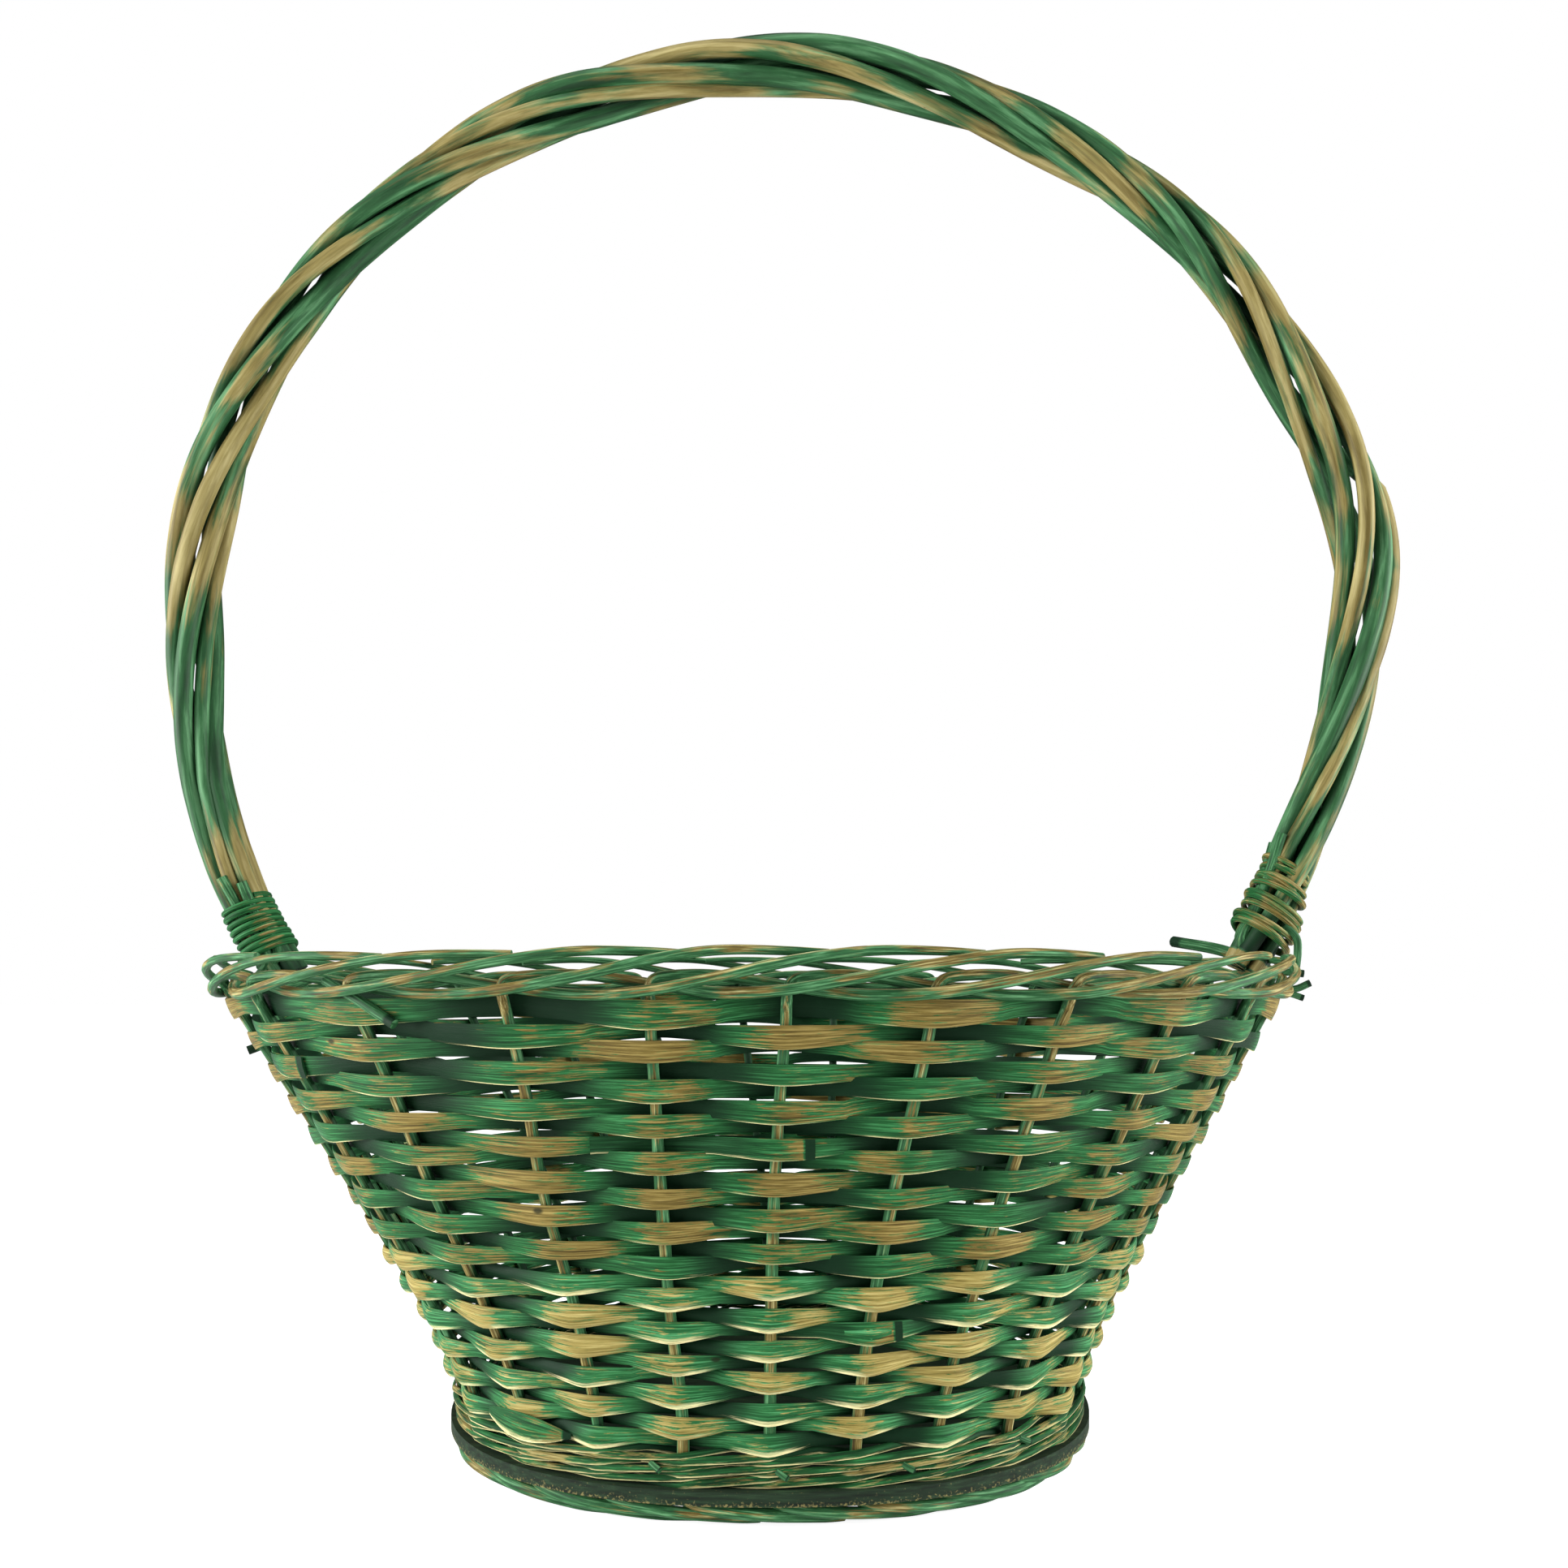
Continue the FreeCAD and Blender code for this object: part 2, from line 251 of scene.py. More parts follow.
# draws one strand: a curve through the points, given its section and made a mesh
def layStrand(name, points, radii, section, tilts=None, closed=False, upright=True):
    radii = np.zeros(len(points)) + radii
    curve = bpy.data.curves.new(name, "CURVE")
    curve.dimensions = "3D"
    curve.twist_mode = "Z_UP" if upright else "MINIMUM"
    spline = curve.splines.new("POLY")
    spline.points.add(len(points) - 1)
    spline.points.foreach_set("co", np.column_stack([points, np.ones(len(points))]).ravel())
    spline.points.foreach_set("radius", radii)
    if tilts is not None:
        spline.points.foreach_set("tilt", tilts)
    spline.use_cyclic_u = closed
    curve.bevel_mode = "OBJECT"
    curve.bevel_object = section
    curve.use_fill_caps = not closed
    strand = bpy.data.objects.new(name, curve)
    bpy.context.collection.objects.link(strand)
    selectOnly([strand])
    bpy.ops.object.convert(target="MESH")
    strand = bpy.context.object
    length = np.linalg.norm(np.diff(points, axis=0), axis=1).sum()
    outline = outlineOf(section)
    around = sum((outline[i] - outline[i - 1]).length for i in range(len(outline)))
    layPatternMap(strand, name, length, around * float(np.mean(radii)))
    bpy.ops.object.shade_smooth_by_angle(angle=math.radians(42))
    return strand


def joinStrands(name, strands):
    selectOnly(strands)
    if len(strands) > 1:
        bpy.ops.object.join()
    joined = bpy.context.object
    joined.name = name
    joined.data.name = name
    return joined


def setValues(piece, name, values):
    attribute = piece.data.attributes.get(name) or piece.data.attributes.new(name, "FLOAT", "POINT")
    attribute.data.foreach_set("value", np.clip(values, -1, 2))


# how pale a place across a strip is: the lower arris, the face beside it, then less
def arrisShare(height, spread):
    if height < -0.95:
        return 1.0
    if height < -0.85:
        return 0.45 + 0.5 * spread
    return 0.7 * spread if height < -0.5 else 0.0


# gives each ring of a strand its share of brushed gold and of painted shade, and marks a split's lower edge
# for its pale arris, partly painted highlight
def markRings(strand, section, proud, edge=0.0, spread=0.0):
    cutEnd = -0.6  # a cut end catches no gold and is painted in deep shade
    heights = [place.y for place in outlineOf(section)]
    ends = len(strand.data.vertices) - len(proud) * len(heights)
    golden = np.repeat(proud, len(heights))
    setValues(strand, "proud", np.concatenate([golden, np.full(ends, cutEnd)]))
    shares = [arrisShare(height, spread) for height in heights]
    edges = np.outer(np.zeros(len(proud)) + edge, shares).ravel()
    setValues(strand, "edge", np.concatenate([edges, np.zeros(ends)]))


def vertexPlaces(piece):
    places = np.zeros(len(piece.data.vertices) * 3)
    piece.data.vertices.foreach_get("co", places)
    return places.reshape(-1, 3)


def vertexNormals(piece):
    normals = np.zeros(len(piece.data.vertices) * 3)
    piece.data.vertex_normals.foreach_get("vector", normals)
    return normals.reshape(-1, 3)


# how squarely each point of a rod faces a brush drawn over the basket from outside and above; it also sets
# painted shade on the faces turned away and a painted highlight along the rim's tops
def facing(piece, upShare):
    normals = vertexNormals(piece)
    outward = vertexPlaces(piece) / [lineX ** 2, lineY ** 2, 1] * [1, 1, 0]
    outward /= np.linalg.norm(outward, axis=1)[:, None]
    return normals @ [0, 0, upShare] + np.sum(normals * outward, 1) * (1 - upShare)


# paints and stains: colours are written as sRGB hex and turned linear here
def linear(hexColour):
    channels = [int(hexColour[i:i + 2], 16) / 255 for i in (1, 3, 5)]
    return tuple(c / 12.92 if c < 0.04045 else ((c + 0.055) / 1.055) ** 2.4 for c in channels) + (1.0,)


def newMaterial(name):
    material = bpy.data.materials.new(name)
    material.use_nodes = True
    material.node_tree.nodes.clear()
    return material


# adds a node to a material or world, sets its values and links its inputs to sockets or nodes
def addNode(owner, kind, settings=None, values=None, links=None):
    node = owner.node_tree.nodes.new("ShaderNode" + kind)
    for key, value in (settings or {}).items():
        setattr(node, key, value)
    for key, value in (values or {}).items():
        node.inputs[key].default_value = value
    for key, source in (links or {}).items():
        socket = source.outputs[0] if hasattr(source, "outputs") else source
        owner.node_tree.links.new(socket, node.inputs[key])
    return node


def rampStops(node, stops):
    elements = node.color_ramp.elements
    while len(elements) > 1:
        elements.remove(elements[-1])
    elements[0].position, elements[0].color = stops[0][0], linear(stops[0][1])
    for place, colour in stops[1:]:
        elements.new(place).color = linear(colour)


blend = {"data_type": "RGBA", "blend_type": "MIX"}
smoothly = {"interpolation_type": "SMOOTHSTEP"}


# willow with green paint soaked in and bronze-gold dry-brushed over what stands proud; low places get
# painted shade, and the lower arris a pale edge that is partly painted highlight
def paintedWillow(name, paint):
    material = newMaterial(name)
    place = addNode(material, "UVMap", {"uv_map": "alongStrand"}).outputs["UV"]
    spot = addNode(material, "TexCoord").outputs["Object"]
    proud = addNode(material, "Attribute", {"attribute_name": "proud"}).outputs["Fac"]
    edge = addNode(material, "Attribute", {"attribute_name": "edge"}).outputs["Fac"]

    # fibres of the wood, which take more or less of the green
    fibrePlace = addNode(material, "Mapping", None,
        {"Scale": (1 / paint["grainLength"], 1 / paint["grainWidth"], 1)}, {"Vector": place})
    grain = addNode(material, "TexNoise", None,
        {"Scale": 1.0, "Detail": 5.0, "Roughness": 0.65, "Distortion": 0.3},
        {"Vector": fibrePlace}).outputs["Fac"]
    green = addNode(material, "ValToRGB", None, None, {"Fac": grain})
    rampStops(green, [(0.33, paint["greenDark"]), (0.50, paint["green"]), (0.68, paint["greenLight"])])
    # painted shade: where proud is low, in recesses and on faces turned away, the green is darkened towards
    # a deep shade green
    shade = addNode(material, "MapRange", smoothly,
        {"From Min": paint["shadeLow"], "From Max": paint["shadeHigh"], "To Min": 1.0, "To Max": 0.0},
        {"Value": proud})
    deep = addNode(material, "Mix", blend, {"B": linear(paint["paintedShadeGreen"])},
        {"Factor": shade, "A": green.outputs["Color"]})

    # streaks that the dry brush leaves along the strand, and broad patches where it was pressed
    brushPlace = addNode(material, "Mapping", None,
        {"Scale": (1 / paint["brushLength"], 1 / paint["brushWidth"], 1), "Location": (3.1, 7.7, 0)},
        {"Vector": place})
    brush = addNode(material, "TexNoise", None,
        {"Scale": 1.0, "Detail": 4.0, "Roughness": 0.7, "Distortion": 0.6},
        {"Vector": brushPlace}).outputs["Fac"]
    patch = addNode(material, "TexNoise", None,
        {"Scale": 1 / paint["patchSize"], "Detail": 2.0, "Roughness": 0.5},
        {"Vector": spot}).outputs["Fac"]

    # the thin lower arris shows pale in broken runs: partly worn paint, partly a painted highlight
    edgeRuns = addNode(material, "Math", {"operation": "MULTIPLY_ADD"}, {1: 2.2, 2: -1.1}, {0: brush})
    paleArrisShare = addNode(material, "Math", {"operation": "ADD"}, None, {0: edgeRuns, 1: edge})
    edgeMask = addNode(material, "MapRange", None, {"From Min": 0.45, "From Max": 1.0},
        {"Value": paleArrisShare})
    edgeOn = addNode(material, "Math", {"operation": "MULTIPLY"}, None, {0: edgeMask, 1: edge})
    edged = addNode(material, "Mix", blend, {"B": linear(paint["paleEdgeWornAndLit"])},
        {"Factor": edgeOn, "A": deep.outputs["Result"]})

    # gold lies where proud + brush streaks + broad patches pass a level
    gold = addNode(material, "ValToRGB", None, None, {"Fac": grain})
    rampStops(gold, [(0.34, paint["goldDark"]), (0.50, paint["gold"]), (0.68, paint["goldLight"])])
    caught = proud
    for pattern, strength in ((brush, paint["brushStrength"]), (patch, paint["patchStrength"])):
        centred = addNode(material, "Math", {"operation": "MULTIPLY_ADD"},
            {1: strength, 2: -0.5 * strength}, {0: pattern})
        caught = addNode(material, "Math", {"operation": "ADD"}, None, {0: centred, 1: caught})
    goldMask = addNode(material, "MapRange", smoothly,
        {"From Min": paint["goldFrom"], "From Max": paint["goldFull"], "To Max": paint["goldCover"]},
        {"Value": caught})
    colour = addNode(material, "Mix", blend, None,
        {"Factor": goldMask, "A": edged.outputs["Result"], "B": gold.outputs["Color"]})

    # small dark knots and scuffs
    knotPlace = addNode(material, "Mapping", None,
        {"Scale": (1 / paint["knotApart"], 2 / paint["knotApart"], 1)}, {"Vector": place})
    knot = addNode(material, "TexVoronoi", None, {"Scale": 1.0}, {"Vector": knotPlace})
    small, large = paint["knotSize"]
    knotMask = addNode(material, "MapRange", smoothly,
        {"From Min": small, "From Max": large, "To Min": 0.85, "To Max": 0.0},
        {"Value": knot.outputs["Distance"]})
    marked = addNode(material, "Mix", blend, {"B": linear(paint["knot"])},
        {"Factor": knotMask, "A": colour.outputs["Result"]})

    smooth, rough = paint["roughness"]
    roughness = addNode(material, "MapRange", None, {"To Min": smooth, "To Max": rough}, {"Value": grain})
    bump = addNode(material, "Bump", None,
        {"Strength": paint["grainDepth"], "Distance": paint["grainHeight"]}, {"Height": grain})
    shader = addNode(material, "BsdfPrincipled", None,
        {"IOR": 1.47, "Specular IOR Level": paint["gloss"]},
        {"Base Color": marked.outputs["Result"], "Roughness": roughness, "Normal": bump})
    addNode(material, "OutputMaterial", None, None, {"Surface": shader})
    return material


greenPaint = {
    # fibres and brush hairs are about 0.1 mm wide in truth: drawn coarser, so that they show
    "grainLength": 18 * mm, "grainWidth": 0.4 * mm, "grainDepth": 0.5, "grainHeight": 0.25 * mm,
    "brushLength": 11 * mm, "brushWidth": 0.42 * mm, "brushStrength": 2.5,
    "patchSize": 13 * mm, "patchStrength": 1.1,
    "greenDark": "#0b2b15", "green": "#1a4d26", "greenLight": "#3b7d4b", "paintedShadeGreen": "#062210",
    "goldDark": "#382c12", "gold": "#67572a", "goldLight": "#93804a",
    "goldFrom": 0.84, "goldFull": 1.0, "goldCover": 0.95,
    "paleEdgeWornAndLit": "#e2d8a0",
    "shadeLow": 0.05, "shadeHigh": 0.72,  # painted shade: recesses below these are darkened to the deep shade green
    "knotApart": 60 * mm, "knotSize": (0.012, 0.032), "knot": "#171c0e",
    "roughness": (0.42, 0.7), "gloss": 0.09,
}

# broad shaved splits: dull paint over long fibres, with ragged gold streaks along the strip
splitPaint = paintedWillow("greenPaintedSplitWillow", greenPaint)

# narrow half-round splits: rounder and lighter, more gold, and a broad pale lower edge, partly painted
# highlight
halfRoundPaint = paintedWillow("greenPaintedHalfRoundWillow", dict(
    greenPaint, greenDark="#0d331b", green="#22592f", greenLight="#4a8d5c",
    goldDark="#54481f", gold="#85763f", goldLight="#ab9c64", goldFrom=0.86, goldFull=1.04,
    paleEdgeWornAndLit="#e4d9a4"))

# thin strands close to the board: the darkest, smooth, with a pale arris picked out, partly as painted
# highlight
walePaint = paintedWillow("greenPaintedWaleWillow", dict(
    greenPaint, greenDark="#071f0d", green="#123a1b", greenLight="#286a38",
    goldDark="#40361a", gold="#75683a", goldLight="#a39460", goldFrom=0.78, goldFull=1.0,
    paleEdgeWornAndLit="#d8cc94", grainWidth=0.8 * mm, grainDepth=0.25, brushWidth=0.8 * mm, brushStrength=1.7))

# peeled round rods, paint wiped on: a soft shine along the top, partly a painted highlight, and long smears
# of gold
rodPaint = paintedWillow("greenPaintedWillowRod", dict(
    greenPaint, grainLength=14 * mm, grainWidth=0.7 * mm,
    brushLength=22 * mm, brushWidth=0.7 * mm, brushStrength=1.5, patchSize=17 * mm, patchStrength=1.6,
    goldFrom=0.70, goldFull=0.88, goldLight="#a89e6c", shadeLow=-0.3, shadeHigh=0.5,
    greenDark="#122f1a", green="#26532f", greenLight="#5a8c61", gloss=0.14))

# the handle's long rods: smooth bark side out, brushed over freely, so gold lies in broad lengths
handlePaint = paintedWillow("brushedGoldWillowRod", dict(
    greenPaint, grainLength=45 * mm, grainWidth=3.2 * mm, grainDepth=0.12,
    brushLength=40 * mm, brushWidth=3.0 * mm, brushStrength=1.2, patchSize=40 * mm, patchStrength=1.9,
    goldDark="#514520", gold="#75693d", goldLight="#988c60", goldFrom=0.60, goldFull=0.94,
    greenDark="#122d18", green="#234a2a", greenLight="#4f7c55", shadeLow=0.0, shadeHigh=0.55,
    knotApart=22 * mm, gloss=0.16))

# the bindings' thin splits: short touches of gold across the turns, dark between them
bindingPaint = paintedWillow("brushedGoldSplitWillow", dict(
    greenPaint, goldFrom=0.7, goldFull=0.9, goldLight="#aba172", patchSize=9 * mm,
    brushLength=8 * mm, brushStrength=1.4, shadeLow=-0.2, shadeHigh=0.3))


def dress(piece, material, slotName, *nodes):
    piece.data.materials.clear()
    piece.data.materials.append(material)
    if nodes:
        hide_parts(*nodes)
    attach(piece, "root")


boardStain = {
    "grainSize": (16.6667 * mm, 2.5 * mm, 1.1111 * mm),  # along the grain, across it, ply to ply
    "grainDepth": 0.4,
    "stain": ("#0a120b", "#162717", "#2a4029"),
    "dust": "#69623c",
    "dustSize": 0.76923 * mm,  # coarser than real dust, so that it shows
    "wornHeight": 2.2 * mm,  # the lower edge is rubbed up to here
    "wornMore": 0.20,
}


# stained plywood, sawn and sanded: dull green-black, worn to gold dust along its lower edge
def stainedPlywood(name, stain):
    material = newMaterial(name)
    spot = addNode(material, "TexCoord").outputs["Object"]
    stretch = addNode(material, "Mapping", None, {"Scale": [1 / size for size in stain["grainSize"]]},
        {"Vector": spot})
    grain = addNode(material, "TexNoise", None, {"Scale": 1.0, "Detail": 6.0, "Roughness": 0.6},
        {"Vector": stretch}).outputs["Fac"]
    soaked = addNode(material, "ValToRGB", None, None, {"Fac": grain})
    rampStops(soaked, list(zip((0.3, 0.55, 0.8), stain["stain"])))
    dust = addNode(material, "TexNoise", None, {"Scale": 1 / stain["dustSize"], "Detail": 4.0},
        {"Vector": spot})
    height = addNode(material, "SeparateXYZ", None, None, {"Vector": spot})
    lowEdge = addNode(material, "MapRange", None,
        {"From Min": boardLow.z, "From Max": boardLow.z + stain["wornHeight"],
         "To Min": stain["wornMore"], "To Max": 0.0}, {"Value": height.outputs["Z"]})
    worn = addNode(material, "Math", {"operation": "ADD"}, None, {0: dust.outputs["Fac"], 1: lowEdge})
    wornMask = addNode(material, "MapRange", None, {"From Min": 0.66, "From Max": 0.82}, {"Value": worn})
    colour = addNode(material, "Mix", blend, {"B": linear(stain["dust"])},
        {"Factor": wornMask, "A": soaked.outputs["Color"]})
    bump = addNode(material, "Bump", None, {"Strength": stain["grainDepth"], "Distance": 0.2 * mm},
        {"Height": grain})
    shader = addNode(material, "BsdfPrincipled", None, {"Roughness": 0.72, "Specular IOR Level": 0.15},
        {"Base Color": colour.outputs["Result"], "Normal": bump})
    addNode(material, "OutputMaterial", None, None, {"Surface": shader})
    return material


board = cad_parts["base_board"]
board.data.materials.clear()
board.data.materials.append(stainedPlywood("stainedPlywood", boardStain))
print("paints mixed")

# weft: split willow in plain randing
weave = {
    "reach": 2.4 * mm,  # strip's middle from the stake line
    "laneReach": 4.1 * mm,  # the same beside the handle's liners
    "linersFrom": 8,  # rows from here up pass the liners
    "samples": 16,  # per stake
    "flatRowsFrom": 11,  # rows from here up are broad flat splits, below it half-round ones
    "topRows": 6,
    # in the pairs below, the first value is for half-round rows and the second for flat ones
    "sink": (0.45 * mm, 0.30 * mm),  # outer passes sit this much lower
    "under": (0.55 * mm, 0.30 * mm),  # and inner ones
    "wideAtStake": (1.40, 1.24),  # strip width by row pitch where it lies on a stake
    "wideAtCross": (0.88, 0.96),  # where it slips between its neighbours
    "wideInside": (1.0, 1.0),  # and behind a stake
    "sharpness": (0.985, 0.92),  # how sharply it turns on a stake
    "shingle": (0.22, 0.13),  # lower edge turned out over the strip below
    "openShare": (0.10, 0.16, 0.45),  # inner passes that stand open: the third is for the top rows
    "openLift": 1.6 * mm,
    "fuller": 0.20,  # inner passes beaten closer towards the ends
    "backSlack": 0.08,  # the back is woven a little looser
    "passLength": 30,  # millimetres of strip to a station
    # unevenness: how much, and the distance from one swing to the next
    "unevenReach": (0.12, 30 * mm),
    "unevenLevel": (0.3 * mm, 38 * mm),
    "unevenWidth": (0.10, 70 * mm),
    "unevenTurn": (0.07, 35 * mm),
    # each pass catches its own share of gold, on its own side of the stake
    "goldShare": (-0.34, 0.32),
    "goldAside": (-0.20, 0.32),
}


# from 1 outside a stake to -1 inside the next
def weavePhase(station, sharpness):
    return np.arcsin(sharpness * np.cos(math.pi * station)) / math.asin(sharpness)


# the path, width and turn of a strip of one row over a run of stations
def stripRun(row, station):
    kind = 1 if row >= weave["flatRowsFrom"] else 0
    around = (station - backStation) % stakeCount * weave["passLength"] * mm
    lane = nearEnd(station)
    phase = weavePhase(station - row, weave["sharpness"][kind])
    # round the ends the strip lies flat over a stake and its neighbours
    rounded = np.sin(np.clip(1.45 * np.cos(math.pi * (station - row)), -1, 1) * math.pi / 2)
    phase += (rounded - phase) * np.clip(1.4 - lane, 0, 1)
    besideLiners = np.clip(1.35 - lane * 1.6, 0, 1) * (row >= weave["linersFrom"])
    swing = weave["reach"] * (1 + wander(row, around, *weave["unevenReach"]))
    out = phase * (swing + besideLiners * (weave["laneReach"] - weave["reach"]))

    drop = np.abs(phase) * np.where(phase > 0, weave["sink"][kind], weave["under"][kind])
    share = weave["openShare"][kind if row < wall["rows"] - weave["topRows"] else 2]
    stands = np.random.default_rng(950 + row).uniform(0, 1, backStation) < share
    behind = np.round((station - row - 1) / 2).astype(int) % backStation
    towardsEnd = np.abs(np.sin(stationAngle(station)))
    opened = stands[behind] * np.clip(-phase, 0, 1) ** 0.6 * np.clip((0.8 - towardsEnd) / 0.2, 0, 1)
    level = rowLevels[row] - drop + weave["openLift"] * opened
    level = level + wander(100 + row, around, *weave["unevenLevel"])

    inside = weave["wideInside"][kind] + weave["fuller"] * towardsEnd ** 2
    far = np.where(phase > 0, weave["wideAtStake"][kind], inside)
    slack = 1 - weave["backSlack"] * np.clip(-np.cos(stationAngle(station)) * 3, 0, 1)
    width = weave["wideAtCross"][kind] + (far - weave["wideAtCross"][kind]) * np.abs(phase)
    width = rowPitches[row] * width * slack * (1 + wander(200 + row, around, *weave["unevenWidth"]))
    turn = wallLean(station, level) - weave["shingle"][kind]
    turn = turn + wander(300 + row, around, *weave["unevenTurn"])
    return out, level, width, turn


def makeWeftRow(row):
    station = roundStations(weave["samples"])
    out, level, width, turn = stripRun(row, station)
    points, _ = wallPoints(station, level, out)
    flat = row >= weave["flatRowsFrom"]
    section = flatSplit if flat else halfRoundSplit
    strip = layStrand("weftStrip%02d" % (row + 1), points, width / 2, section, turn, closed=True)
    random = np.random.default_rng(900 + row)
    passes = np.round((station - row) / 2).astype(int) % backStation  # one outer pass to two stations
    share = random.uniform(*weave["goldShare"], backStation)[passes]
    aside = random.uniform(*weave["goldAside"], backStation)[passes]
    # proud is highest on the outer crests and lowest where the pass goes in behind a stake: it places the
    # brushed gold and the painted shade in the recesses; the pale arris with its painted highlight is
    # strongest on the crests
    proud = 0.5 + 0.5 * np.cos(math.pi * (station - row - aside))
    proud = proud + share * np.clip(0.5 + out / weave["reach"], 0, 1)
    edge = np.clip(0.35 + out / weave["reach"], 0, 1)
    markRings(strip, section, proud, edge, 0.0 if flat else 1.0)
    dress(strip, splitPaint if flat else halfRoundPaint, "strips", "weft_row_%02d" % (row + 1))


for row in range(wall["rows"]):
    makeWeftRow(row)
print("weft woven")

# wale: three rounds of three rods, each outside two stakes and inside the third
wale = {
    "halfWidth": 0.98 * mm,
    "reach": 2.7 * mm,
    "climb": 1.75 * mm,  # how far a rod rises and sinks as it passes its two fellows
    "shingle": 0.5,
    "samples": 12,
    "passLength": 25,  # millimetres of rod to a station
    "unevenLevel": (0.45 * mm, 30 * mm),
    "unevenWidth": (0.2, 40 * mm),
    "unevenTurn": (0.1, 30 * mm),
    "unevenGold": (0.26, 18 * mm),
    "gold": (0.36, 0.34),  # its middle, and how much more the outer passes have
}


def makeWaleRound(index):
    low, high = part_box("wale_rod_%d" % (index + 1))
    strands = []
    station = roundStations(wale["samples"])
    around = (station - backStation) * wale["passLength"] * mm
    for strandIndex in range(3):
        seed = 400 + index * 3 + strandIndex
        part = (station - strandIndex + index) % 3
        out = wale["reach"] * np.clip(np.minimum(2 * part, 2 * (3 - part)) - 1, -1, 1)
        crossing = np.clip((part - 1.5) / 1.1, -1, 1) * np.clip(4 - 2.8 * np.abs(part - 1.5), 0, 1)
        level = (low.z + high.z) / 2 + wale["climb"] * crossing
        level = level + wander(seed, around, *wale["unevenLevel"])
        points, _ = wallPoints(station, level, out)
        width = wale["halfWidth"] * (1 + wander(seed + 20, around, *wale["unevenWidth"]))
        turn = -wale["shingle"] + wander(seed + 40, around, *wale["unevenTurn"])
        name = "waleStrand%d%d" % (index, strandIndex)
        strand = layStrand(name, points, width, slimSplit, turn, closed=True)
        middle, more = wale["gold"]
        # outer passes get more gold; inner ones, where the rod goes in, get painted shade
        proud = middle + more * out / wale["reach"] + wander(seed + 60, around, *wale["unevenGold"])
        markRings(strand, slimSplit, proud, 1.0, 0.6)
        strands.append(strand)
    piece = joinStrands("waleRound%d" % (index + 1), strands)
    dress(piece, walePaint, "rods", "wale_rod_%d" % (index + 1))


for index in range(3):
    makeWaleRound(index)
print("wale made")

# stakes: tail under the board, upright, and the top laid down into the rim
stakes = {
    "radius": 1.62 * mm,
    "rimRadius": 1.52 * mm,
    "tipTaper": 0.8,
    "taperFrom": 0.78,  # share of the length where the tip begins to thin
    "lanes": 1.65 * mm,  # room that the end stakes leave for the liners
    "footClear": 1.5 * mm,  # half of a tail's thickness, kept from the floor and the board
    "footLift": 0.25 * mm,
    "footSwing": 2.6 * mm,
    "footSwell": 0.15 * mm,  # the thick butts are plaited underneath
    "footStations": 2.0,
    "footSlope": (1.75, 1.5),  # stations over which a tail goes down, and how roundly
    "unevenFoot": (-0.1, 0.3),
    "unevenStand": (0.025, 30 * mm),
    "unevenOut": (0.45 * mm, 0.8),  # along the rim, the second value is in stations
    "unevenUp": (0.55 * mm, 1.1),
    "unevenRadius": (0.07, 25 * mm),
    # the laid-down top: stations along the rim, millimetres out and up from the last strip
    "rimPath": [(0, 0, -4), (0, 0, 0), (0.01, 0, 3.6), (0.10, -0.6, 6.0), (0.5, -2.4, 6.2),
                (1, -3.4, 3.2), (1.5, -0.2, 1.5), (2, 3.3, 2.9), (2.5, 3.5, 6.3), (3, 2.4, 10.2),
                (3.5, 0.3, 12.6), (4, -2.0, 12.2), (4.4, -3.2, 11.0)],
    # gold and painted shade by place: the least, how much more on the brushed side, and how far brushed
    # from above; faces turned away are left in painted shade
    "gold": {"weave": (0.34, 0.56, 0.0), "rim": (0.54, 0.44, 0.55), "foot": (0.36, 0.42, 0.2)},
}


# the tail, from its tip under the board up to the stake's own hole
def tailPath(stake, random):
    low = stakes["footClear"] + stakes["footSwell"] + stakes["footLift"]
    high = boardLow.z - stakes["footClear"]
    travel = np.linspace(stakes["footStations"] + random.uniform(*stakes["unevenFoot"]), 0.0, 26)
    reach, roundly = stakes["footSlope"]
    climb = np.clip(1 - (travel / reach) ** roundly, 0, 1)
    out = stakes["footSwing"] * np.sin(fullTurn * travel / 3)
    return wallPoints(stake + travel, low + (high - low) * climb, out)[0]


def uprightPath(stake, seed):
    levels = np.linspace(boardLow.z, weaveTop - 6 * mm, 44)
    inset = -stakes["lanes"] * (stake in endStations)
    shift = inset * np.clip((levels - boardTop) / (30 * mm), 0, 1)
    station = np.full(44, float(stake)) + wander(seed, levels, *stakes["unevenStand"])
    return wallPoints(station, levels, shift)[0]


# the top, laid behind its neighbour, outside the next two and in again, each cut at its own length
def topPath(stake, seed, random):
    path = smoothThrough(stakes["rimPath"], 9)
    path = path[:-int(random.uniform(0, 7)) - 1]
    along, out, up = path[:, 0], path[:, 1] * mm, path[:, 2] * mm
    station = stake + along
    near = nearEnd(station)
    # near the ends it keeps in from the liners at first, and further out when it comes round them
    out = out + np.where(along < 1.4, -stakes["lanes"] * np.clip(1 - near / 0.5, 0, 1), 0)
    out = out + np.where((along > 1.6) & (along < 3.4), 0.6 * mm * np.clip(1.2 - near / 0.5, 0, 1), 0)
    loose = np.clip(along, 0, 1)
    out = out + wander(seed + 40, along, *stakes["unevenOut"]) * loose
    up = up + wander(seed + 80, along, *stakes["unevenUp"]) * loose
    return wallPoints(station, np.full(len(station), weaveTop), out, up)[0]


